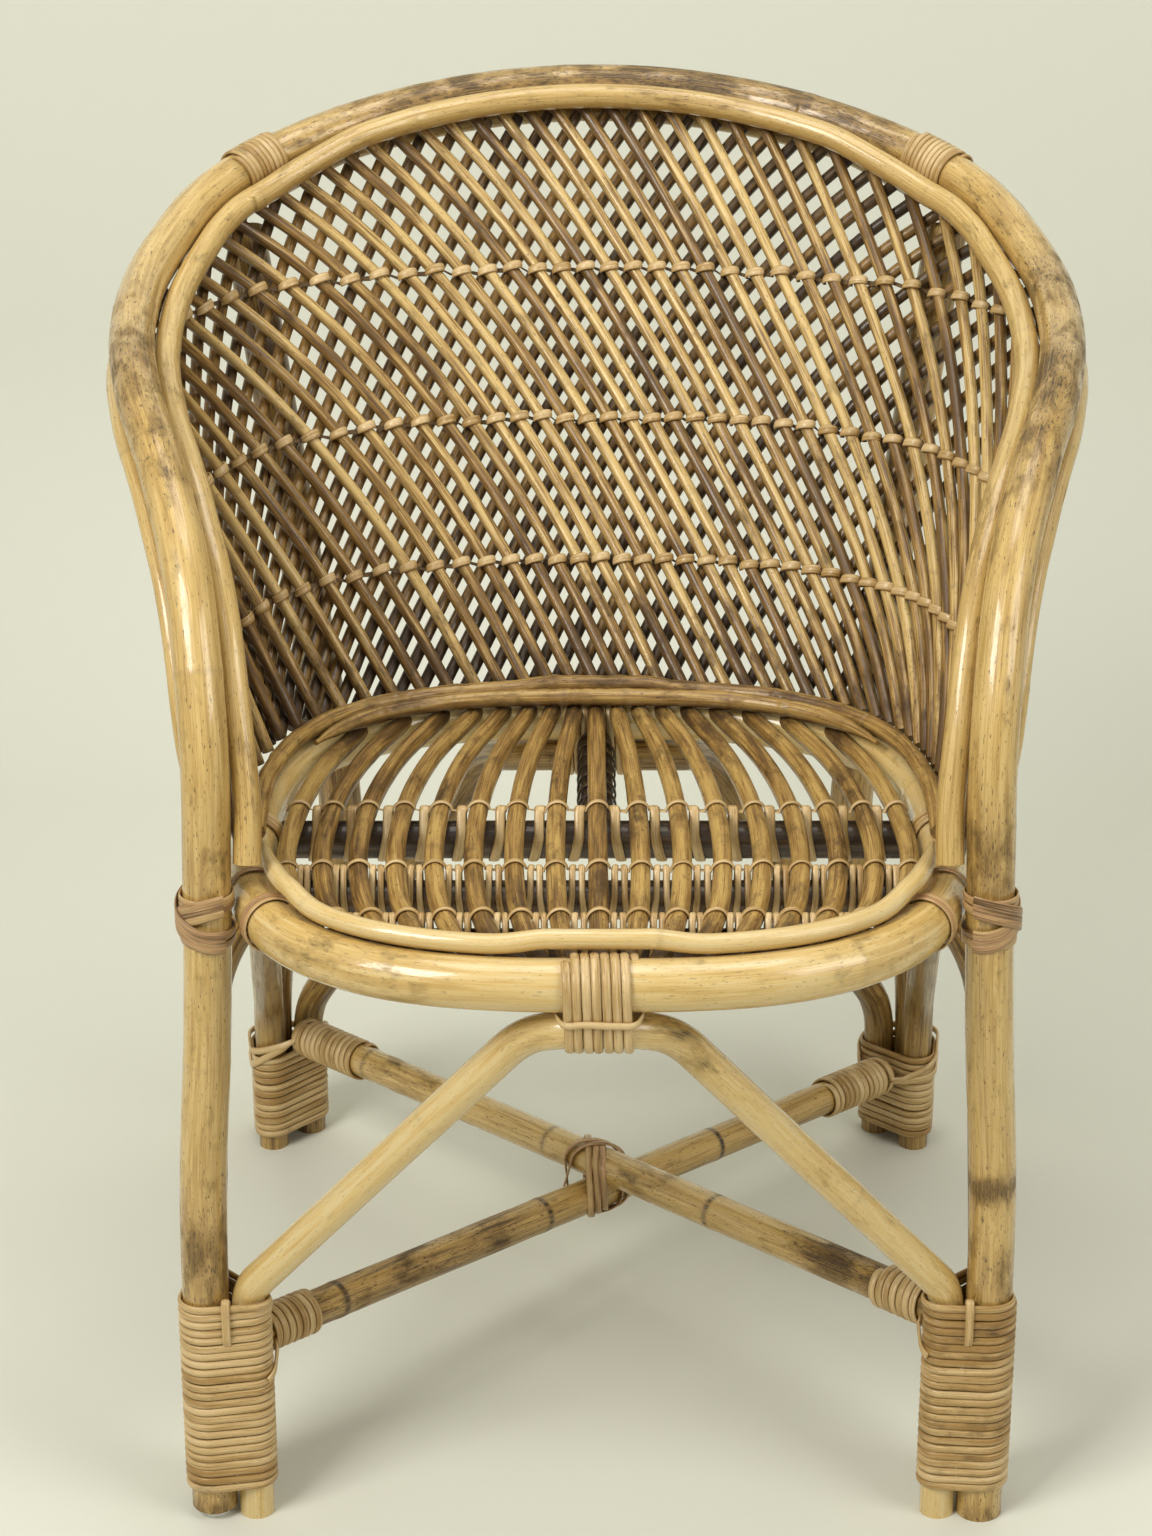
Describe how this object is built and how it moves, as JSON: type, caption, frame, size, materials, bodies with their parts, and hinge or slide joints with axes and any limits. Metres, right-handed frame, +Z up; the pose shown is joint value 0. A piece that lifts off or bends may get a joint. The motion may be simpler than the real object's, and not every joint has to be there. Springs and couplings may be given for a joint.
{
  "type": "rattan tub armchair",
  "caption": "Rattan tub armchair: a bent pole hoop forms legs, arms and back rim, with a leaning rod lattice, slatted seat, arch braces and cane windings.",
  "frame": {"origin": "centre of the bounding box at the floor", "axes": "+Z up, -Y towards the front of the seat, +X to the viewer's right seen from the front"},
  "size_m": [0.6062, 0.6888, 0.7855],
  "materials": {
    "rattan_pole": "varnished straw-tan rattan pole",
    "rattan_rod": "streaked rattan core rod",
    "rattan_slat": "golden brown rattan slat",
    "cane_binding": "split cane strand",
    "white_plastic": "white plastic glide"
  },
  "bodies": {
    "root": {"arch_back": "rattan_pole", "arch_front": "rattan_pole", "arch_lashing_back": "cane_binding", "arch_lashing_front": "cane_binding", "arch_lashing_left": "cane_binding", "arch_lashing_right": "cane_binding", "arch_left": "rattan_pole", "arch_right": "rattan_pole", "back_binding_lower": "cane_binding", "back_binding_middle": "cane_binding", "back_binding_upper": "cane_binding", "back_rods_inner": "rattan_rod", "back_rods_outer": "rattan_rod", "bearer_front": "rattan_pole", "bearer_middle": "rattan_pole", "bearer_rear": "rattan_pole", "centre_spine": "rattan_pole", "centre_spine_wrap": "cane_binding", "foot_glide": "white_plastic", "foot_wrap_front_left": "cane_binding", "foot_wrap_front_right": "cane_binding", "foot_wrap_rear_left": "cane_binding", "foot_wrap_rear_right": "cane_binding", "hoop_inner_lining": "rattan_pole", "hoop_main": "rattan_pole", "hoop_outer_lining": "rattan_pole", "hoop_wraps": "cane_binding", "rear_leg_left": "rattan_pole", "rear_leg_right": "rattan_pole", "ring_lashing_left": "cane_binding", "ring_lashing_right": "cane_binding", "seat_back_rail_lower": "rattan_pole", "seat_back_rail_upper": "rattan_pole", "seat_binding_front": "cane_binding", "seat_binding_middle": "cane_binding", "seat_binding_rear": "cane_binding", "seat_front_cap": "rattan_pole", "seat_ring": "rattan_pole", "seat_slat_01": "rattan_slat", "seat_slat_02": "rattan_slat", "seat_slat_03": "rattan_slat", "seat_slat_04": "rattan_slat", "seat_slat_05": "rattan_slat", "seat_slat_06": "rattan_slat", "seat_slat_07": "rattan_slat", "seat_slat_08": "rattan_slat", "seat_slat_09": "rattan_slat", "seat_slat_10": "rattan_slat", "seat_slat_11": "rattan_slat", "seat_slat_12": "rattan_slat", "seat_slat_13": "rattan_slat", "seat_slat_14": "rattan_slat", "seat_slat_15": "rattan_slat", "seat_slat_16": "rattan_slat", "seat_slat_17": "rattan_slat", "stretcher_cross_lashing": "cane_binding", "stretcher_lower": "rattan_pole", "stretcher_upper": "rattan_pole", "stretcher_wraps": "cane_binding"}
  },
  "joints": []
}
